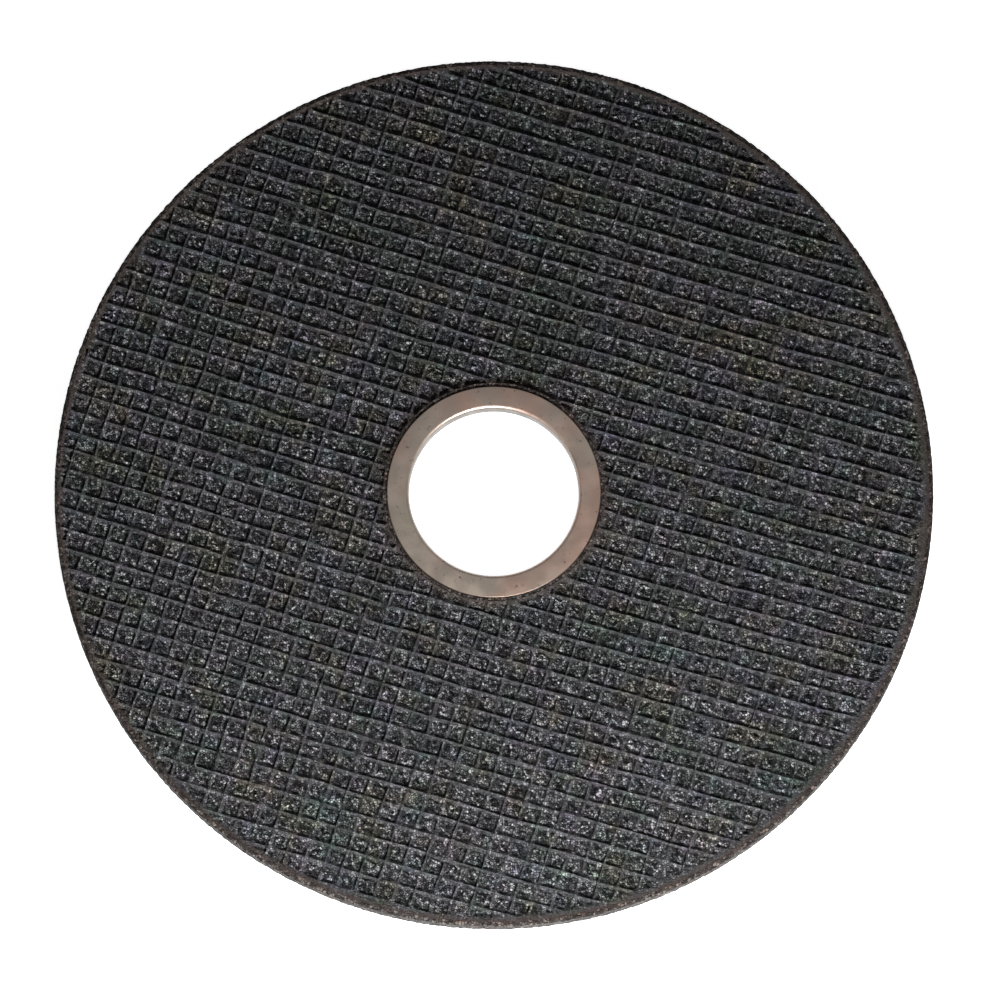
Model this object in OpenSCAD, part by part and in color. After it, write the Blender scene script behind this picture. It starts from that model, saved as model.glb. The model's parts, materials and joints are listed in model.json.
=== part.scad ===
// Flat cut-off wheel for an angle grinder: a pressed abrasive disc, a woven
// reinforcing mesh bonded into each face, and a flanged steel ring in the bore.
// The wheel lies on its back face, with its axis along Z.

/* [Abrasive disc] */
// Outside diameter of the wheel
wheel_d = 115; // [100:1:150]
// Thickness between the two pressed faces
wheel_t = 3; // [2.4:0.1:6]
// Chamfer that breaks the corners of the rim
rim_break = 0.2; // [0.05:0.05:0.4]

/* [Reinforcing mesh] */
// Distance between neighbouring threads
thread_pitch = 2.5; // [2:0.1:5]
// Width of a thread at its foot
thread_w = 0.9; // [0.6:0.05:1.2]
// Height of the weft threads over the pockets between them
weft_relief = 0.4; // [0.36:0.02:0.6]
// Height of the warp threads, which pass under the weft
warp_relief = 0.34; // [0.1:0.02:0.34]
// Thickness of the mesh sheet under its pockets
mesh_web = 0.1; // [0.05:0.05:0.3]
// Depth of the weft crests under the pressed face
crest_set_back = 0.03; // [0.01:0.01:0.1]
// Direction in which the weft threads run
weft_angle = -16.5; // [-40:0.5:40]
// Direction in which the warp threads run
warp_angle = 72; // [60:0.5:120]
// Distance from the axis to the nearest weft thread
weft_shift = -0.8; // [-1.2:0.05:1.2]
// Distance from the axis to the nearest warp thread
warp_shift = 1.1; // [-1.2:0.05:1.2]
// Bare land between the mesh and the rim
rim_land = 0.6; // [0.5:0.1:5]
// Bare land between the mesh and the seat of the ring
ring_land = 0.4; // [0.3:0.1:3]

/* [Bore ring] */
// Diameter of the arbor bore through the ring
bore_d = 22.23; // [16:0.01:25]
// Outside diameter of the flange
flange_d = 28; // [27.6:0.1:40]
// Thickness of the sheet steel
sheet_t = 0.35; // [0.3:0.05:0.6]
// Inside radius of the bend between collar and flange
bend_r = 0.1; // [0.05:0.05:0.4]
// Rolled corner on the outer edge of the flange
edge_roll = 0.1; // [0.02:0.02:0.2]
// Height of the flange over the pressed face
flange_proud = 0.15; // [0:0.05:0.25]
// Distance from the end of the collar up to the back face
collar_set_back = 0.3; // [0:0.1:0.8]

/* [Fits] */
// Radial gap between the collar and the disc
collar_gap = 0.05; // [0.02:0.01:0.2]
// Radial gap between the flange and the wall of its seat
seat_gap = 0.1; // [0.02:0.02:0.3]

/* [Hidden] */
$fn = 128;

wheel_r = wheel_d / 2;
bore_r = bore_d / 2;
flange_r = flange_d / 2;

// Ring: the collar stands in the disc's bore, the flange lies in its seat.
collar_r = bore_r + sheet_t;
lip_r = bend_r + sheet_t;
flange_top = wheel_t + flange_proud;
seat_floor = flange_top - sheet_t;

// Disc: bore and seat follow the ring, recesses follow the mesh sheets.
disc_bore_r = collar_r + collar_gap;
seat_r = flange_r + seat_gap;
mesh_in_r = seat_r + ring_land;
mesh_out_r = wheel_r - rim_land;
sheet_h = mesh_web + weft_relief;
recess = sheet_h + crest_set_back;

// The warp comb's own floor lies this far under the pocket floor.
floor_lap = mesh_web / 5;

// Combs of threads long and wide enough to cover the mesh at any angle.
threads_each_side = ceil(mesh_out_r / thread_pitch) + 1;
comb_half = threads_each_side * thread_pitch;
comb_len = 2 * comb_half;

// Outline across a comb of ridged threads. The pockets between them are flat,
// and a sunk comb keeps its threads' width where they leave the pocket floor.
function comb_outline(relief, sink) = let(
  foot = thread_w / 2 * (1 + sink / relief),
  low = mesh_web - sink
) concat(
  [for (i = [-threads_each_side : threads_each_side], step = [-1 : 1])
    [i * thread_pitch + step * foot, step == 0 ? mesh_web + relief : low]],
  [[comb_half + foot, -sheet_h], [-comb_half - foot, -sheet_h]]
);

// One family of parallel threads, running at the given angle.
module thread_comb(angle, shift, relief, sink) {
  rotate(angle)
    translate([-comb_len / 2, shift, 0])
      rotate([90, 0, 90])
        linear_extrude(comb_len)
          polygon(comb_outline(relief, sink));
}

// Ring of rectangular section between two radii.
module flat_ring(r_in, r_out, h) {
  rotate_extrude()
    translate([r_in, 0])
      square([r_out - r_in, h]);
}

// Woven sheet with its flat side down on Z = 0: crossing threads with a
// flat-floored pocket in each mesh, cut round outside and inside.
module mesh_sheet() {
  intersection() {
    union() {
      thread_comb(weft_angle, weft_shift, weft_relief, 0);
      thread_comb(warp_angle, warp_shift, warp_relief, floor_lap);
    }
    flat_ring(mesh_in_r, mesh_out_r, 2 * sheet_h);
  }
}

// Pressed body of grain and resin: bore, seat for the flange, broken rim
// corners and a shallow recess for the mesh in each face.
module abrasive_disc() {
  color("dimgray")
    rotate_extrude()
      polygon([
        [disc_bore_r, 0],
        [mesh_in_r, 0],
        [mesh_in_r, recess],
        [mesh_out_r, recess],
        [mesh_out_r, 0],
        [wheel_r - rim_break, 0],
        [wheel_r, rim_break],
        [wheel_r, wheel_t - rim_break],
        [wheel_r - rim_break, wheel_t],
        [mesh_out_r, wheel_t],
        [mesh_out_r, wheel_t - recess],
        [mesh_in_r, wheel_t - recess],
        [mesh_in_r, wheel_t],
        [seat_r, wheel_t],
        [seat_r, seat_floor],
        [disc_bore_r + bend_r, seat_floor],
        [disc_bore_r, seat_floor - bend_r]
      ]);
}

// Mesh on the flange side, bedded in the upper recess.
module front_mesh() {
  color("darkslategray")
    translate([0, 0, wheel_t - recess])
      mesh_sheet();
}

// The same sheet turned face down, bedded in the lower recess.
module back_mesh() {
  color("darkslategray")
    translate([0, 0, recess])
      rotate([180, 0, 0])
        mesh_sheet();
}

// Section of the ring: collar, quarter-round bend, and flange with its
// rolled corner.
module ring_section() {
  translate([bore_r, collar_set_back])
    square([sheet_t, flange_top - lip_r - collar_set_back]);
  translate([collar_r + bend_r, flange_top - lip_r])
    intersection() {
      difference() {
        circle(lip_r);
        circle(bend_r);
      }
      translate([-lip_r, 0])
        square(lip_r);
    }
  polygon([
    [collar_r + bend_r, seat_floor],
    [flange_r, seat_floor],
    [flange_r, flange_top - edge_roll],
    [flange_r - edge_roll, flange_top],
    [collar_r + bend_r, flange_top]
  ]);
}

// Stamped steel ring that lines the arbor bore.
module bore_ring() {
  color("rosybrown")
    rotate_extrude()
      ring_section();
}

abrasive_disc();
front_mesh();
back_mesh();
bore_ring();
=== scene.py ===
"""Looks of the cut-off wheel: woven faces with grit in their pockets, a crumbly rim and a dull steel ring.

Lengths are in metres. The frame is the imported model's own: the wheel lies on Z = 0, with its axis along Z.
"""

import json
import math

import bpy
import numpy as np
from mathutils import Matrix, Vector


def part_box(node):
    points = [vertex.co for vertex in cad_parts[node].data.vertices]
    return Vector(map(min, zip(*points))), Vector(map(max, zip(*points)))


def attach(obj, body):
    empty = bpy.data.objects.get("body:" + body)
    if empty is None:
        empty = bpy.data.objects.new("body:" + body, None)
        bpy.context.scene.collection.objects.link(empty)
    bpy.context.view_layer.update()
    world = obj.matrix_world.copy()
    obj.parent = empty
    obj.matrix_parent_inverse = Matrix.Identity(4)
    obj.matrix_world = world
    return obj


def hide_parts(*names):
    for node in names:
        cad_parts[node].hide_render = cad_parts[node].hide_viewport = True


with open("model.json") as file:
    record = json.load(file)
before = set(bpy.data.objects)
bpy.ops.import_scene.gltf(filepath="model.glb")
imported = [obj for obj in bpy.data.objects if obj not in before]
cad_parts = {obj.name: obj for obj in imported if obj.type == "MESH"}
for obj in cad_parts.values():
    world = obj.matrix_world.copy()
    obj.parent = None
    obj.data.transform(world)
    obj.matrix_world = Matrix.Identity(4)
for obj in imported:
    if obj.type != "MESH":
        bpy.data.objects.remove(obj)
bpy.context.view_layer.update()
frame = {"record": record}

MM = 0.001
SEED = 41

# Sizes read from the frame
disc_low, disc_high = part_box("abrasive_disc")
sheet_low, sheet_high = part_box("front_mesh")
ring_low, ring_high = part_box("bore_ring")
arbor = next(m for m in frame["record"]["mounts"] if m["name"] == "arbor_bore")
WHEEL_R = max(disc_high[0], disc_high[1])
WHEEL_T = disc_high[2]
MESH_R_OUT = max(sheet_high[0], sheet_high[1])
MESH_FLOOR = sheet_low[2]
MESH_TOP = sheet_high[2]
FLANGE_R = max(ring_high[0], ring_high[1])
FLANGE_TOP = ring_high[2]
COLLAR_END = ring_low[2]
BORE_R = arbor["dims"]["r_mm"] * MM

# Sizes that the boxes don't give
SHEET_T = 0.35 * MM
BEND_R = 0.1 * MM
EDGE_ROLL = 0.1 * MM
COLLAR_GAP = 0.05 * MM
SEAT_R = FLANGE_R + 0.1 * MM
MESH_R_IN = SEAT_R + 0.4 * MM
RIM_BREAK = 0.2 * MM

# Body and ring: how finely they are turned, how deep the rim crumbles and how wide that band is
BODY_SEGMENTS = 1080
BODY_SPACING = 0.25 * MM
RING_SEGMENTS = 288
RING_SPACING = 0.5 * MM
RIM_CRUMBLE = 0.16 * MM
CRUMBLE_START = 0.6 * MM
CRUMBLE_RISE = 0.4 * MM
LAND_GRIT = 0.12 * MM
RING_CLUMP = 4
HARD_EDGE = math.radians(40)

# Weave: thread directions, spacing and the slow bow of both thread families across the wheel
PITCH = 2.5 * MM
WEFT_ANGLE = math.radians(-16.5)
WARP_ANGLE = math.radians(72)
WEFT_SHIFT = -0.8 * MM
WARP_SHIFT = 1.1 * MM
WEFT_BOW = (0.154, -0.218, 0.047)
WARP_BOW = (0.071, -0.122, -0.02)
WEFT_FOOT = 0.42 * MM
WARP_FOOT = 0.34 * MM
WEFT_STEPS = 6
WARP_STEPS = 5

# Heights in the weave, and how far the foot of a thread is filled with grit
OVER_UNDER = 0.02 * MM
WARP_DROP = 0.07 * MM
POCKET_FLOOR = 0.02 * MM
GRIT_RELIEF = 0.32 * MM
FOOT_FILL = 0.3
CREASE = math.radians(35)

# Where threads sink under the grit: share of their height, where it begins, and what stays bare of grit
WEFT_SINK = 0.35
WARP_SINK = 0.5
WEFT_SINK_RATE = 0.9
WEFT_SINK_START = 0.4
WARP_SINK_START = 0.1
WARP_BARE = 0.7
FOOT_BARE = 0.35

# Unevenness: sideways moves, and the grid steps over which those of a thread change
THREAD_WANDER = 0.06 * MM
FOOT_WANDER = 0.08 * MM
THREAD_SPREAD = 0.10 * MM
SPREAD_LIMIT = 1.5
GRAIN_WANDER = 0.10 * MM
SWAY_STEPS = 12
SPREAD_STEPS = 5

# The woven disc lies a little off centre, so its smooth margin is wider at the lower right
WEAVE_R = WHEEL_R - 0.75 * MM
WEAVE_CENTRE = (-0.40 * MM, 0.35 * MM)
RIM_FADE = 0.7 * MM
RING_FADE = 0.15 * MM
FADE_RAGGED = 0.15
RESIN_LEVEL = 0.985


# Mesh building

def make_piece(name, verts, faces, material, smooth, attributes=None):
    """A mesh object from arrays: smooth is one flag for each face, attributes one value for each vertex."""
    mesh = bpy.data.meshes.new(name)
    mesh.from_pydata(verts.tolist(), [], faces)
    mesh.polygons.foreach_set("use_smooth", np.asarray(smooth, dtype=bool))
    for key, values in (attributes or {}).items():
        layer = mesh.attributes.new(key, "FLOAT", "POINT")
        layer.data.foreach_set("value", np.asarray(values, dtype=np.float32))
    mesh.materials.append(material)
    mesh.update()
    piece = bpy.data.objects.new(name, mesh)
    bpy.context.collection.objects.link(piece)
    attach(piece, "root")
    return piece


def smoothstep(x):
    x = np.clip(x, 0, 1)
    return x * x * (3 - 2 * x)


def bow(terms, x, y):
    """Sideways drift of a thread, as a share of the pitch, at a place given in wheel radii."""
    return terms[0] * x * x + terms[1] * x * y + terms[2] * y * y


def lattice_points(u, v):
    """Plan position of lattice coordinates u (across the weft) and v (across the warp), in metres."""
    across_weft = np.array([-math.sin(WEFT_ANGLE), math.cos(WEFT_ANGLE)])
    across_warp = np.array([-math.sin(WARP_ANGLE), math.cos(WARP_ANGLE)])
    to_plan = np.linalg.inv(np.array([across_weft, across_warp]))
    offsets = np.stack([WEFT_SHIFT + u, WARP_SHIFT + v], axis=-1)
    plan = offsets @ to_plan.T
    x = plan[..., 0] / WHEEL_R
    y = plan[..., 1] / WHEEL_R
    plan = plan + (PITCH * bow(WEFT_BOW, x, y))[..., None] * across_weft
    return plan + (PITCH * bow(WARP_BOW, x, y))[..., None] * across_warp


def thread_lines(count, foot, steps):
    """Grid lines across one thread family: the crest, then even steps over the pocket from foot to foot."""
    knots = np.concatenate([[0], np.linspace(foot, PITCH - foot, steps + 1)])
    turns = np.arange(-count, count)
    return (turns[:, None] * PITCH + knots[None, :]).ravel()


def running_noise(rng, shape, length):
    """Random values that change slowly along the second axis, about 1 in size."""
    kernel = np.hanning(2 * length + 1)
    rough = rng.normal(0, 1, (shape[0], shape[1] + 2 * length))
    smooth = np.array([np.convolve(row, kernel, "valid") for row in rough])
    return smooth / np.sqrt((kernel ** 2).sum())


def weave_sheet(seed):
    """Vertices, faces, vertex layers and smooth flags of one sheet, flat side down on Z = 0 and closed."""
    rng = np.random.default_rng(seed)
    count = math.ceil(MESH_R_OUT / PITCH) + 2
    weft_lines = thread_lines(count, WEFT_FOOT, WEFT_STEPS)
    warp_lines = thread_lines(count, WARP_FOOT, WARP_STEPS)
    u, v = np.meshgrid(weft_lines, warp_lines, indexing="ij")
    weft_step = np.arange(len(weft_lines)) % (WEFT_STEPS + 2)
    warp_step = np.arange(len(warp_lines)) % (WARP_STEPS + 2)
    weft_crest = (weft_step == 0)[:, None]
    warp_crest = (warp_step == 0)[None, :]
    weft_side = ((weft_step == 1) * 1 - (weft_step == WEFT_STEPS + 1))[:, None]
    warp_side = ((warp_step == 1) * 1 - (warp_step == WARP_STEPS + 1))[None, :]
    weft_foot = weft_side != 0
    warp_foot = warp_side != 0
    weft_no = np.round(weft_lines / PITCH).astype(int) + count
    warp_no = np.round(warp_lines / PITCH).astype(int) + count

    # Threads wander sideways, spread and sink here and there, and the grains between them lie unevenly
    along_weft = (2 * count + 1, len(warp_lines))
    along_warp = (2 * count + 1, len(weft_lines))
    weft_sway = running_noise(rng, along_weft, SWAY_STEPS)[weft_no]
    warp_sway = running_noise(rng, along_warp, SWAY_STEPS)[warp_no].T
    weft_spread = running_noise(rng, along_weft, SPREAD_STEPS)[weft_no] * weft_side
    warp_spread = running_noise(rng, along_warp, SPREAD_STEPS)[warp_no].T * warp_side
    weft_dip = running_noise(rng, along_weft, SPREAD_STEPS)[weft_no]
    warp_dip = running_noise(rng, along_warp, SPREAD_STEPS)[warp_no].T
    weft_sunk = WEFT_SINK * smoothstep(WEFT_SINK_RATE * weft_dip - WEFT_SINK_START)
    warp_sunk = WARP_SINK * smoothstep(warp_dip - WARP_SINK_START)
    loose_u = rng.uniform(-1, 1, u.shape)
    loose_v = rng.uniform(-1, 1, u.shape)
    slack = np.where(weft_foot | warp_foot, FOOT_WANDER, GRAIN_WANDER)
    on_crest = weft_crest | warp_crest
    near_weft = weft_crest | weft_foot
    near_warp = warp_crest | warp_foot
    u = u + np.where(near_weft, THREAD_WANDER * weft_sway, 0) + np.where(weft_crest, 0, slack * loose_u)
    u = u + THREAD_SPREAD * np.clip(weft_spread, -SPREAD_LIMIT, SPREAD_LIMIT)
    v = v + np.where(near_warp, THREAD_WANDER * warp_sway, 0) + np.where(warp_crest, 0, slack * loose_v)
    v = v + THREAD_SPREAD * np.clip(warp_spread, -SPREAD_LIMIT, SPREAD_LIMIT)
    plan = lattice_points(u, v)

    # Quads whose middle lies between the two cut edges
    middle = (plan[:-1, :-1] + plan[1:, :-1] + plan[1:, 1:] + plan[:-1, 1:]) / 4
    middle_r = np.hypot(middle[..., 0], middle[..., 1])
    kept = (middle_r > MESH_R_IN) & (middle_r < MESH_R_OUT)
    uses = np.zeros(u.shape, dtype=int)
    for di in (0, 1):
        for dj in (0, 1):
            uses[di:di + kept.shape[0], dj:dj + kept.shape[1]] += kept
    used = uses > 0
    border = used & (uses < 4)

    # The cut edges are true circles
    radius = np.hypot(plan[..., 0], plan[..., 1])
    edge_r = np.where(radius > (MESH_R_IN + MESH_R_OUT) / 2, MESH_R_OUT, MESH_R_IN)
    plan = np.where(border[..., None], plan * (edge_r / np.maximum(radius, MM))[..., None], plan)
    radius = np.hypot(plan[..., 0], plan[..., 1])

    # Threads cross over and under in turn, and the weft stands a little higher
    full = MESH_TOP - MESH_FLOOR
    turn = math.pi / PITCH
    weft_top = full - OVER_UNDER * (1 - np.cos(turn * v + math.pi * weft_no[:, None]))
    warp_top = full - WARP_DROP - OVER_UNDER * (1 + np.cos(turn * u + math.pi * warp_no[None, :]))
    grit = POCKET_FLOOR + GRIT_RELIEF * rng.beta(1.0, 1.3, u.shape)
    weft_height = np.where(weft_crest, weft_top * (1 - weft_sunk) + grit * weft_sunk, 0)
    warp_height = np.where(warp_crest, warp_top * (1 - warp_sunk) + grit * warp_sunk, 0)
    foot_height = np.where(weft_foot | warp_foot, POCKET_FLOOR + FOOT_FILL * (grit - POCKET_FLOOR), grit)
    height = np.where(on_crest, np.maximum(weft_height, warp_height), foot_height)

    # The weave sinks into smooth resin at both cut edges
    off_centre = np.hypot(plan[..., 0] - WEAVE_CENTRE[0], plan[..., 1] - WEAVE_CENTRE[1])
    inside = np.minimum((WEAVE_R - off_centre) / RIM_FADE, (radius - MESH_R_IN) / RING_FADE)
    fade = smoothstep(inside + rng.normal(0, FADE_RAGGED, u.shape))
    height = np.where(border, full, fade * height + (1 - fade) * full * RESIN_LEVEL)

    index = np.full(u.shape, -1)
    index[used] = np.arange(used.sum())
    verts = np.column_stack([plan[used], height[used]])
    i, j = np.nonzero(kept)
    faces = np.column_stack([index[i, j], index[i + 1, j], index[i + 1, j + 1], index[i, j + 1]])
    bare = np.where(weft_crest, 1 - weft_sunk, 0)
    bare = np.maximum(bare, np.where(warp_crest, WARP_BARE * (1 - warp_sunk), 0))
    bare = np.maximum(bare, np.where(weft_foot | warp_foot, FOOT_BARE, 0))
    layers = {
        "thread": np.maximum(bare, 1 - fade)[used],
        "grain": ((grit - POCKET_FLOOR) / GRIT_RELIEF)[used],
    }
    on_weft = (weft_step[i] == 0) | (weft_step[i] == WEFT_STEPS + 1)
    on_warp = (warp_step[j] == 0) | (warp_step[j] == WARP_STEPS + 1)
    return close_sheet(verts, faces, layers, on_weft | on_warp | (fade[i, j] < 0.5))


def border_loops(faces):
    """The sheet's border edges as closed loops of vertex numbers."""
    starts = faces.ravel()
    ends = np.roll(faces, -1, axis=1).ravel()
    size = int(starts.max()) + 1
    forward = starts.astype(np.int64) * size + ends
    backward = ends.astype(np.int64) * size + starts
    alone = ~np.isin(forward, backward)
    following = dict(zip(starts[alone].tolist(), ends[alone].tolist()))
    loops = []
    while following:
        first, current = following.popitem()
        loop = [first]
        while current != first:
            loop.append(current)
            current = following.pop(current)
        loops.append(loop)
    return loops


def put_in_order(verts, loop):
    """Moves a border loop's vertices along their circle until each lies further round than the last."""
    turn = np.unwrap(np.arctan2(verts[loop, 1], verts[loop, 0]))
    forward = np.sign(turn[-1] - turn[0])
    widest = np.argmax(forward * np.diff(turn)) + 1
    turn = np.concatenate([turn[widest:], turn[:widest] + forward * 2 * math.pi])
    turn = np.sort(forward * turn) * forward
    loop = np.roll(loop, -widest)
    radius = np.hypot(verts[loop, 0], verts[loop, 1])
    verts[loop, 0] = radius * np.cos(turn)
    verts[loop, 1] = radius * np.sin(turn)


def close_sheet(verts, faces, layers, smooth):
    """Adds side walls and a flat base to a sheet with one outer and one inner border."""
    loops = border_loops(faces)
    loops.sort(key=lambda loop: -np.hypot(*verts[loop[0]][:2]))
    for loop in loops:
        put_in_order(verts, loop)
    parts = [verts]
    walls = []
    base_loops = []
    count = len(verts)
    for loop in loops:
        base = verts[loop].copy()
        base[:, 2] = 0
        parts.append(base)
        low = list(range(count, count + len(loop)))
        count += len(loop)
        base_loops.append(low)
        for k in range(len(loop)):
            n = (k + 1) % len(loop)
            walls.append((loop[n], loop[k], low[k], low[n]))
    verts = np.vstack(parts)
    base = zip_rings(verts, base_loops[0], base_loops[1])
    layers = {key: np.concatenate([values, np.ones(count - len(values))]) for key, values in layers.items()}
    smooth = np.concatenate([smooth, np.zeros(len(walls) + len(base), dtype=bool)])
    return verts, faces.tolist() + walls + base, layers, smooth


def zip_rings(verts, outer, inner):
    """Triangles, facing down, that span the flat ring between two loops about the axis."""
    def by_angle(loop):
        return sorted(loop, key=lambda k: math.atan2(verts[k][1], verts[k][0]))

    def angle(loop, k):
        x, y = verts[loop[k % len(loop)]][:2]
        return math.atan2(y, x) + 2 * math.pi * (k // len(loop))

    outer = by_angle(outer)
    inner = by_angle(inner)
    a = b = 0
    triangles = []
    while a < len(outer) or b < len(inner):
        o = outer[a % len(outer)]
        i = inner[b % len(inner)]
        if b >= len(inner) or (a < len(outer) and angle(outer, a + 1) <= angle(inner, b + 1)):
            triangles.append((o, i, outer[(a + 1) % len(outer)]))
            a += 1
        else:
            triangles.append((o, i, inner[(b + 1) % len(inner)]))
            b += 1
    return triangles


def resample(points, spacing):
    """A closed outline with extra points, about spacing apart, on each stretch marked fine."""
    dense = []
    for k, (r, z, fine) in enumerate(points):
        r2, z2, _ = points[(k + 1) % len(points)]
        pieces = max(1, round(math.hypot(r2 - r, z2 - z) / spacing)) if fine else 1
        for s in range(pieces):
            t = s / pieces
            dense.append((r + t * (r2 - r), z + t * (z2 - z)))
    return np.array(dense)


def lathe(outline, segments):
    """Vertex grid (outline point, segment, xyz) and quads of a closed outline turned about Z."""
    turn = np.arange(segments) * 2 * math.pi / segments
    r = outline[:, 0][:, None]
    z = np.repeat(outline[:, 1][:, None], segments, 1)
    grid = np.stack([r * np.cos(turn), r * np.sin(turn), z], -1)
    number = np.arange(grid.shape[0] * segments).reshape(grid.shape[:2])
    along = np.roll(number, -1, axis=0)
    quads = np.stack([number, np.roll(number, -1, 1), np.roll(along, -1, 1), along], -1)
    return grid, quads.reshape(-1, 4).tolist()


# Materials

RESIN_BROWN = (0.055, 0.041, 0.035)
RESIN_SPECULAR = 0.06
POCKET_GRAIN = 0.34 * MM
RIM_GRAIN = 0.40 * MM


def new_material(name):
    material = bpy.data.materials.new(name)
    material.use_nodes = True
    tree = material.node_tree
    return material, tree, tree.nodes["Principled BSDF"]


def add(tree, kind, settings=None, **inputs):
    """A node with its settings and its inputs set: an input takes a value or another node's output."""
    item = tree.nodes.new(kind)
    for key, value in (settings or {}).items():
        setattr(item, key, value)
    for key, value in inputs.items():
        socket = item.inputs[int(key[1:])] if key[0] == "i" and key[1:].isdigit() else item.inputs[key]
        if isinstance(value, bpy.types.NodeSocket):
            tree.links.new(value, socket)
        else:
            socket.default_value = value
    return item


def ramp(tree, factor, stops):
    """A colour ramp through (position, colour) stops."""
    item = tree.nodes.new("ShaderNodeValToRGB")
    tree.links.new(factor, item.inputs["Fac"])
    elements = item.color_ramp.elements
    while len(elements) < len(stops):
        elements.new(0.5)
    for element, (position, colour) in zip(elements, stops):
        element.position = position
        element.color = (*colour, 1)
    return item.outputs["Color"]


def mix(tree, factor, a, b, blend="MIX"):
    """Colour a to colour b by factor."""
    item = tree.nodes.new("ShaderNodeMix")
    item.data_type = "RGBA"
    item.blend_type = blend
    for socket, value in ((item.inputs[0], factor), (item.inputs[6], a), (item.inputs[7], b)):
        if isinstance(value, bpy.types.NodeSocket):
            tree.links.new(value, socket)
        elif isinstance(value, tuple):
            socket.default_value = (*value, 1)
        else:
            socket.default_value = value
    return item.outputs[2]


def math_node(tree, operation, a, b=0.0):
    return add(tree, "ShaderNodeMath", {"operation": operation}, i0=a, i1=b).outputs[0]


def map_range(tree, value, low, high, to_low=0.0, to_high=1.0):
    return add(tree, "ShaderNodeMapRange", {"interpolation_type": "SMOOTHSTEP"}, i0=value, i1=low, i2=high,
               i3=to_low, i4=to_high).outputs[0]


def place(tree):
    """Object coordinates, in metres."""
    return tree.nodes.new("ShaderNodeTexCoord").outputs["Object"]


def noise(tree, where, size, detail=3.0, rough=0.6, dimensions="3D"):
    return add(tree, "ShaderNodeTexNoise", {"noise_dimensions": dimensions}, Vector=where, Scale=1 / size,
               Detail=detail, Roughness=rough).outputs["Fac"]


def distance_from_axis(tree, where):
    flat = add(tree, "ShaderNodeVectorMath", {"operation": "MULTIPLY"}, i0=where, i1=(1, 1, 0)).outputs[0]
    return add(tree, "ShaderNodeVectorMath", {"operation": "LENGTH"}, i0=flat).outputs["Value"]


def grains(tree, where, size, dimensions="3D"):
    """Angular grains: distance from the gaps between them, in grain sizes, and each one's random value."""
    kind = {"voronoi_dimensions": dimensions, "feature": "F1"}
    cells = add(tree, "ShaderNodeTexVoronoi", kind, Vector=where, Scale=1 / size)
    kind["feature"] = "DISTANCE_TO_EDGE"
    gaps = add(tree, "ShaderNodeTexVoronoi", kind, Vector=where, Scale=1 / size)
    lot = add(tree, "ShaderNodeSeparateColor", None, Color=cells.outputs["Color"]).outputs[0]
    return gaps.outputs["Distance"], lot


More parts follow.
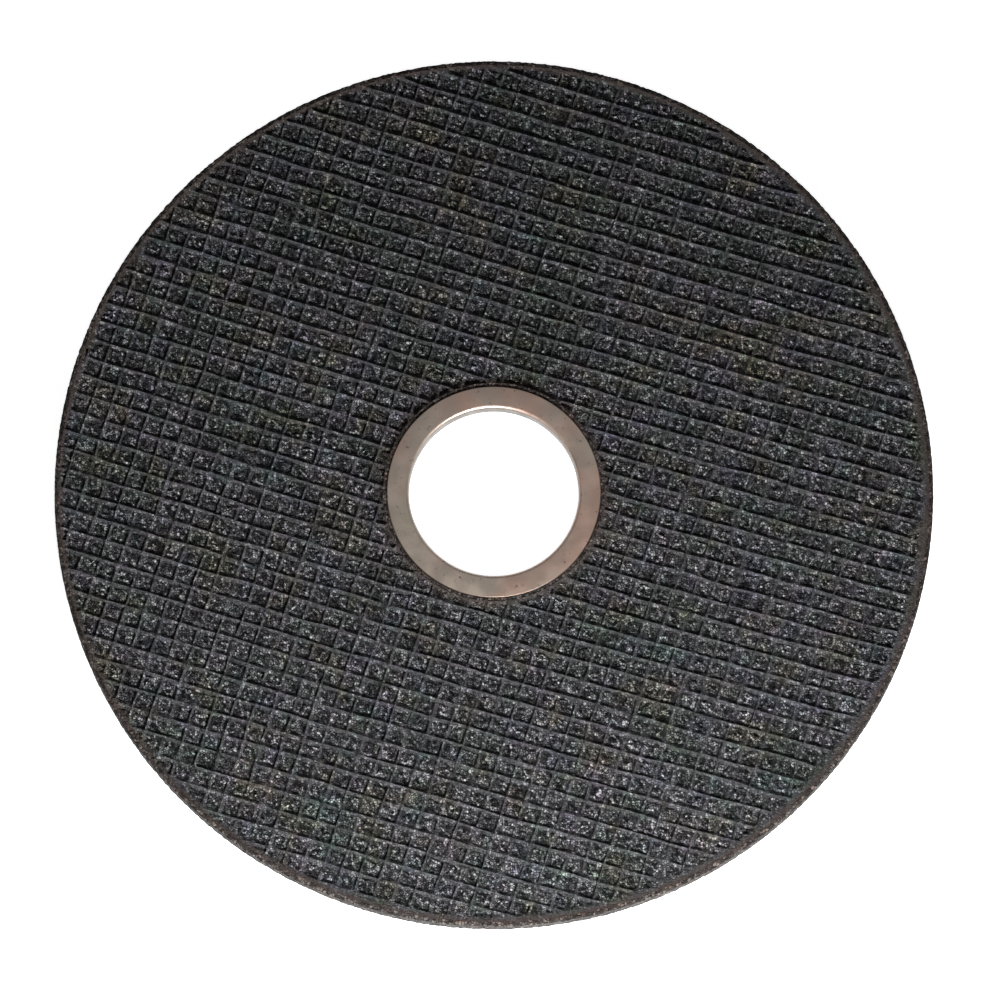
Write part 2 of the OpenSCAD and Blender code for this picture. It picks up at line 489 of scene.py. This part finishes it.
def weave_material():
    """Resin over glass thread, with dark and light grit in the pockets. Painted shade darkens the gaps
    between grains and the deep grit, and the highest grit is painted lighter.
    """
    material, tree, shader = new_material("resin_weave")
    where = place(tree)
    thread = add(tree, "ShaderNodeAttribute", {"attribute_name": "thread"}).outputs["Fac"]
    strewn = map_range(tree, noise(tree, where, 0.6 * MM, 3.0, 0.7, "2D"), 0.42, 0.58, 1.0, 0.5)
    pocket = math_node(tree, "SUBTRACT", 1.0, math_node(tree, "MULTIPLY", thread, strewn))

    patches = ramp(tree, noise(tree, where, 14 * MM, 2.0, 0.6, "2D"), [
        (0.30, (0.040, 0.043, 0.042)),
        (0.45, (0.045, 0.045, 0.047)),
        (0.58, (0.047, 0.046, 0.050)),
        (0.72, (0.051, 0.048, 0.044)),
    ])
    green_to_purple = ramp(tree, noise(tree, where, 4 * MM, 2.0, 0.6, "2D"), [
        (0.32, (0.90, 1.02, 0.94)),
        (0.42, (1.00, 1.00, 1.00)),
        (0.58, (1.00, 1.00, 1.00)),
        (0.68, (1.06, 0.98, 1.07)),
    ])
    yellow_to_blue = ramp(tree, noise(tree, where, 6 * MM, 2.0, 0.6, "2D"), [
        (0.32, (1.04, 1.00, 0.86)),
        (0.42, (1.00, 1.00, 1.00)),
        (0.58, (1.00, 1.00, 1.01)),
        (0.68, (0.96, 1.00, 1.10)),
    ])
    patches = mix(tree, 1.0, patches, green_to_purple, "MULTIPLY")
    patches = mix(tree, 1.0, patches, yellow_to_blue, "MULTIPLY")

    field, lot = grains(tree, where, POCKET_GRAIN, "2D")
    speck_and_gap_shade = ramp(tree, lot, [
        (0.0, (0.50, 0.50, 0.50)),
        (0.50, (1.80, 1.80, 1.80)),
        (0.85, (5.00, 5.00, 4.94)),
    ])
    # Painted shade: the gaps between grains are painted near black, as the shadow in the crevices
    speck_and_gap_shade = mix(tree, map_range(tree, field, 0.07, 0.15), (0.02, 0.02, 0.02), speck_and_gap_shade)
    grain = add(tree, "ShaderNodeAttribute", {"attribute_name": "grain"}).outputs["Fac"]
    # Painted light and shade by depth: the deeper the grit lies, the darker it is painted; the highest grit
    # is painted lighter
    depth_shade = ramp(tree, grain, [
        (0.05, (0.15, 0.15, 0.15)),
        (0.35, (0.62, 0.62, 0.62)),
        (0.60, (1.50, 1.50, 1.48)),
        (0.90, (2.60, 2.60, 2.55)),
    ])
    gritty = mix(tree, 1.0, patches, speck_and_gap_shade, "MULTIPLY")
    gritty = mix(tree, 1.0, gritty, depth_shade, "MULTIPLY")
    dusting = ramp(tree, noise(tree, where, 0.35 * MM, 2.0, 0.6, "2D"), [
        (0.32, (0.80, 0.80, 0.80)),
        (0.50, (1.55, 1.55, 1.55)),
        (0.68, (2.40, 2.40, 2.38)),
    ])
    coated = mix(tree, 1.0, patches, dusting, "MULTIPLY")
    base = mix(tree, pocket, coated, gritty)

    radius = distance_from_axis(tree, where)
    near_rim = map_range(tree, radius, WHEEL_R - 1.5 * MM, WHEEL_R - 0.5 * MM, 0.0, 0.85)
    near_ring = map_range(tree, radius, MESH_R_IN + 1.8 * MM, SEAT_R, 0.0, 0.7)
    halo = math_node(tree, "MAXIMUM", near_rim, near_ring)
    tree.links.new(mix(tree, halo, base, RESIN_BROWN), shader.inputs["Base Color"])
    shader.inputs["Specular IOR Level"].default_value = RESIN_SPECULAR

    gloss = map_range(tree, noise(tree, where, 0.5 * MM, 2.0, 0.6, "2D"), 0.3, 0.7, 0.36, 0.62)
    tree.links.new(gloss, shader.inputs["Roughness"])

    lumps = math_node(tree, "MULTIPLY", math_node(tree, "MINIMUM", field, 0.3), pocket)
    fine = noise(tree, where, 0.2 * MM, 2.0, 0.7, "2D")
    height = math_node(tree, "ADD", lumps, math_node(tree, "MULTIPLY", fine, 0.9))
    bump = add(tree, "ShaderNodeBump", None, Strength=1.0, Distance=0.42 * MM, Height=height)
    tree.links.new(bump.outputs["Normal"], shader.inputs["Normal"])
    return material


def abrasive_material():
    """Grain and resin: dark and smooth on the bare lands, brownish and gritty on the rim, with painted shade
    in the gaps between grains.
    """
    material, tree, shader = new_material("bonded_grain")
    where = place(tree)
    field, lot = grains(tree, where, RIM_GRAIN)
    radius = distance_from_axis(tree, where)
    on_rim = map_range(tree, radius, WHEEL_R - 0.35 * MM, WHEEL_R - 0.15 * MM)
    rim_tone = ramp(tree, noise(tree, where, 5 * MM, 3.0), [
        (0.3, (0.042, 0.040, 0.038)),
        (0.5, (0.048, 0.043, 0.040)),
        (0.7, (0.054, 0.045, 0.041)),
    ])
    land_tone = ramp(tree, noise(tree, where, 3 * MM, 3.0), [
        (0.35, (0.044, 0.040, 0.039)),
        (0.65, RESIN_BROWN),
    ])
    speck_and_gap_shade = ramp(tree, lot, [
        (0.0, (0.35, 0.35, 0.35)),
        (0.6, (1.2, 1.2, 1.2)),
        (0.95, (2.7, 2.65, 2.6)),
    ])
    # Painted shade: the gaps between grains are painted darker
    speck_and_gap_shade = mix(tree, map_range(tree, field, 0.02, 0.14), (0.15, 0.15, 0.15), speck_and_gap_shade)
    tone = mix(tree, on_rim, land_tone, rim_tone)
    tree.links.new(mix(tree, 1.0, tone, speck_and_gap_shade, "MULTIPLY"), shader.inputs["Base Color"])
    shader.inputs["Specular IOR Level"].default_value = RESIN_SPECULAR
    gloss = map_range(tree, noise(tree, where, 0.6 * MM), 0.3, 0.7, 0.45, 0.75)
    tree.links.new(gloss, shader.inputs["Roughness"])
    fine = math_node(tree, "MULTIPLY", noise(tree, where, 0.2 * MM), 0.5)
    bump = add(tree, "ShaderNodeBump", None, Strength=0.8, Distance=0.18 * MM,
               Height=math_node(tree, "ADD", math_node(tree, "MINIMUM", field, 0.3), fine))
    tree.links.new(bump.outputs["Normal"], shader.inputs["Normal"])
    return material


def steel_material():
    """Dull rolled steel with a warm oxide bloom and small specks, with painted shade on the flange's outer
    edge and inside the bore.
    """
    material, tree, shader = new_material("ring_steel")
    where = place(tree)
    tone = ramp(tree, noise(tree, where, 9 * MM, 2.0), [
        (0.35, (0.46, 0.395, 0.330)),
        (0.50, (0.47, 0.385, 0.325)),
        (0.65, (0.52, 0.360, 0.295)),
    ])
    specks = map_range(tree, noise(tree, where, 0.8 * MM, 4.0, 0.75), 0.61, 0.68, 0.0, 0.8)
    flange = mix(tree, specks, tone, (0.14, 0.10, 0.08))
    radius = distance_from_axis(tree, where)
    # Painted shade: the flange's rolled outer edge is coloured darker
    edge_shade = map_range(tree, radius, FLANGE_R - 0.15 * MM, FLANGE_R - 0.03 * MM, 0.0, 0.75)
    flange = mix(tree, edge_shade, flange, (0.10, 0.07, 0.055))
    # Painted shade: the collar and bend below the flange top are coloured dark, dimming their reflections
    height = add(tree, "ShaderNodeSeparateXYZ", None, Vector=where).outputs["Z"]
    above_wall_shade = map_range(tree, height, FLANGE_TOP - 0.32 * MM, FLANGE_TOP - 0.10 * MM)
    tree.links.new(mix(tree, above_wall_shade, (0.13, 0.115, 0.10), flange), shader.inputs["Base Color"])
    shader.inputs["Metallic"].default_value = 0.9
    gloss = map_range(tree, noise(tree, where, 2.5 * MM, 4.0), 0.3, 0.7, 0.36, 0.52)
    tree.links.new(gloss, shader.inputs["Roughness"])
    bump = add(tree, "ShaderNodeBump", None, Strength=0.2, Distance=0.05 * MM,
               Height=noise(tree, where, 0.3 * MM, 4.0, 0.7))
    tree.links.new(bump.outputs["Normal"], shader.inputs["Normal"])
    return material


# Pieces

def place_sheet(verts, turned):
    """Front sheet: bedded in the upper recess. Back sheet: the same, turned face down."""
    if turned:
        return verts * np.array([1, -1, -1]) + np.array([0, 0, WHEEL_T - MESH_FLOOR])
    return verts + np.array([0, 0, MESH_FLOOR])


def build_weave(name, node, material, seed, turned):
    verts, faces, layers, smooth = weave_sheet(seed)
    piece = make_piece(name, place_sheet(verts, turned), faces, material, smooth, layers)
    piece.data.set_sharp_from_angle(angle=CREASE)
    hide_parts(node)


def build_body(material):
    """Abrasive body: smooth lands and a rough, crumbly rim."""
    recess = WHEEL_T - MESH_FLOOR
    seat_floor = FLANGE_TOP - SHEET_T
    bore = BORE_R + SHEET_T + COLLAR_GAP
    outline = resample([
        (bore, 0, True),
        (MESH_R_IN, 0, False),
        (MESH_R_IN, recess, False),
        (MESH_R_OUT, recess, False),
        (MESH_R_OUT, 0, True),
        (WHEEL_R - RIM_BREAK, 0, True),
        (WHEEL_R, RIM_BREAK, True),
        (WHEEL_R, WHEEL_T - RIM_BREAK, True),
        (WHEEL_R - RIM_BREAK, WHEEL_T, True),
        (MESH_R_OUT, WHEEL_T, False),
        (MESH_R_OUT, MESH_FLOOR, False),
        (MESH_R_IN, MESH_FLOOR, False),
        (MESH_R_IN, WHEEL_T, True),
        (SEAT_R, WHEEL_T, False),
        (SEAT_R, seat_floor, False),
        (bore + BEND_R, seat_floor, False),
        (bore, seat_floor - BEND_R, False),
    ], BODY_SPACING)
    grid, quads = lathe(outline, BODY_SEGMENTS)
    rng = np.random.default_rng(SEED + 2)
    rim = smoothstep((outline[:, 0] - (WHEEL_R - CRUMBLE_START)) / CRUMBLE_RISE)[:, None]
    crumble = RIM_CRUMBLE * rng.beta(1.3, 2.2, grid.shape[:2]) * rim
    radius = np.hypot(grid[..., 0], grid[..., 1])
    grid[..., :2] *= ((radius - crumble) / radius)[..., None]
    below_face = np.minimum(outline[:, 1], WHEEL_T - outline[:, 1])
    on_face = (below_face < 0.01 * MM) & (outline[:, 0] > SEAT_R + 0.1 * MM)
    at_edge = np.isin(outline[:, 0], (MESH_R_IN, MESH_R_OUT))
    pitted = (on_face & ~at_edge)[:, None]
    grit = rng.beta(1.1, 2.0, grid.shape[:2])
    clumps = np.repeat(rng.beta(1.1, 2.0, (len(outline), grid.shape[1] // RING_CLUMP)), RING_CLUMP, axis=1)
    sag = LAND_GRIT * np.where(outline[:, :1] < WHEEL_R / 2, clumps, grit) * pitted
    middle = np.sign(WHEEL_T / 2 - outline[:, 1])[:, None]
    grid[..., 2] += sag * middle
    smooth = np.repeat((rim[:, 0] < 0.3) & ~on_face, grid.shape[1])
    piece = make_piece("abrasive_body", grid.reshape(-1, 3), quads, material, smooth)
    piece.data.set_sharp_from_angle(angle=HARD_EDGE)
    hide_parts("abrasive_disc")


def arc(centre, radius, start, end, steps):
    """Points on an arc, from the start angle to the end angle in degrees."""
    turns = np.radians(np.linspace(start, end, steps + 1))
    return [(centre[0] + radius * math.cos(t), centre[1] + radius * math.sin(t), False) for t in turns]


def build_ring(material):
    """Stamped ring: collar, bend and flange, all of one sheet."""
    bend = (BORE_R + SHEET_T + BEND_R, FLANGE_TOP - SHEET_T - BEND_R)
    corner = (FLANGE_R - EDGE_ROLL, FLANGE_TOP - EDGE_ROLL)
    points = [(BORE_R, COLLAR_END, True), (BORE_R + SHEET_T, COLLAR_END, True)]
    points += arc(bend, BEND_R, 180, 90, 6)
    points += [(FLANGE_R, FLANGE_TOP - SHEET_T, False)]
    points += arc(corner, EDGE_ROLL, 0, 90, 4)
    points += arc(bend, BEND_R + SHEET_T, 90, 180, 12)
    outline = resample(points, RING_SPACING)
    grid, quads = lathe(outline, RING_SEGMENTS)
    smooth = np.ones(len(quads), dtype=bool)
    piece = make_piece("steel_ring", grid.reshape(-1, 3), quads, material, smooth)
    piece.data.set_sharp_from_angle(angle=HARD_EDGE)
    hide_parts("bore_ring")


weave = weave_material()
build_weave("front_weave", "front_mesh", weave, SEED, False)
build_weave("back_weave", "back_mesh", weave, SEED + 1, True)
build_body(abrasive_material())
build_ring(steel_material())


# Stage, light and camera

FLOOR_GLOW = 0.94
FLOOR_HALF = 3.0


def floor_material():
    """Pale floor that shows white to the camera and in reflections, and still takes the wheel's shadow."""
    material, tree, shader = new_material("pale_floor")
    shader.inputs["Base Color"].default_value = (0.8, 0.8, 0.8, 1)
    shader.inputs["Roughness"].default_value = 1.0
    rays = tree.nodes.new("ShaderNodeLightPath").outputs
    seen = math_node(tree, "MAXIMUM", rays["Is Camera Ray"], rays["Is Glossy Ray"])
    seen = math_node(tree, "MAXIMUM", seen, rays["Is Transmission Ray"])
    glow = math_node(tree, "MULTIPLY", seen, FLOOR_GLOW)
    shader.inputs["Emission Color"].default_value = (1, 1, 1, 1)
    tree.links.new(glow, shader.inputs["Emission Strength"])
    return material


corners = [(-1, -1), (1, -1), (1, 1), (-1, 1)]
floor_mesh = bpy.data.meshes.new("floor")
floor_mesh.from_pydata([(x * FLOOR_HALF, y * FLOOR_HALF, 0) for x, y in corners], [], [(0, 1, 2, 3)])
floor_mesh.materials.append(floor_material())
floor = bpy.data.objects.new("floor", floor_mesh)
bpy.context.collection.objects.link(floor)


def look_at(item, target):
    direction = Vector(target) - item.location
    item.rotation_euler = direction.to_track_quat("-Z", "Y").to_euler()


def area_light(name, location, target, size, power):
    data = bpy.data.lights.new(name, "AREA")
    data.shape = "RECTANGLE"
    data.size, data.size_y = size
    data.energy = power
    lamp = bpy.data.objects.new(name, data)
    lamp.location = location
    bpy.context.collection.objects.link(lamp)
    look_at(lamp, target)


area_light("key", (0.042, -0.195, 0.115), (-0.09, 0, 0), (0.12, 0.06), 1.4)
area_light("overhead", (0, 0.16, 0.9), (0, 0, 0), (0.8, 0.8), 0.5)

# A dim, even sky, which only reflections see brighter towards the horizon
WORLD_FILL = 0.03
WORLD_SHEEN = 0.07
HORIZON_SHEEN = 0.5
world = bpy.data.worlds.new("studio")
bpy.context.scene.world = world
world.use_nodes = True
sky = world.node_tree
sky.nodes["Background"].inputs["Color"].default_value = (1, 1, 1, 1)
glossy = sky.nodes.new("ShaderNodeLightPath").outputs["Is Glossy Ray"]
toward = sky.nodes.new("ShaderNodeTexCoord").outputs["Generated"]
rise = add(sky, "ShaderNodeSeparateXYZ", None, Vector=toward).outputs["Z"]
sheen = map_range(sky, rise, 0.2, 0.6, HORIZON_SHEEN, WORLD_SHEEN)
strength = math_node(sky, "ADD", math_node(sky, "MULTIPLY", glossy, sheen), WORLD_FILL)
sky.links.new(strength, sky.nodes["Background"].inputs["Strength"])

# The photograph's frame: wheel width and centre in its 1000 by 1000 pixels
IMAGE_SIZE = 1000
WHEEL_WIDTH_PX = 879
WHEEL_CENTRE_PX = (493.9, 493.8)
CAMERA_TILT = math.radians(10)
CAMERA_DISTANCE = 2.5
SENSOR = 36

metres_per_px = 2 * WHEEL_R / WHEEL_WIDTH_PX
aim = (
    (IMAGE_SIZE / 2 - WHEEL_CENTRE_PX[0]) * metres_per_px,
    (WHEEL_CENTRE_PX[1] - IMAGE_SIZE / 2) * metres_per_px,
    WHEEL_T / 2,
)
camera_data = bpy.data.cameras.new("camera")
camera_data.sensor_width = SENSOR
camera_data.lens = SENSOR * CAMERA_DISTANCE / (metres_per_px * IMAGE_SIZE)
camera_data.clip_start = 0.01
camera = bpy.data.objects.new("camera", camera_data)
camera.location = (
    aim[0],
    aim[1] - CAMERA_DISTANCE * math.sin(CAMERA_TILT),
    aim[2] + CAMERA_DISTANCE * math.cos(CAMERA_TILT),
)
camera.rotation_euler = (CAMERA_TILT, 0, 0)
bpy.context.collection.objects.link(camera)
bpy.context.scene.camera = camera
bpy.context.scene.view_settings.view_transform = "Standard"
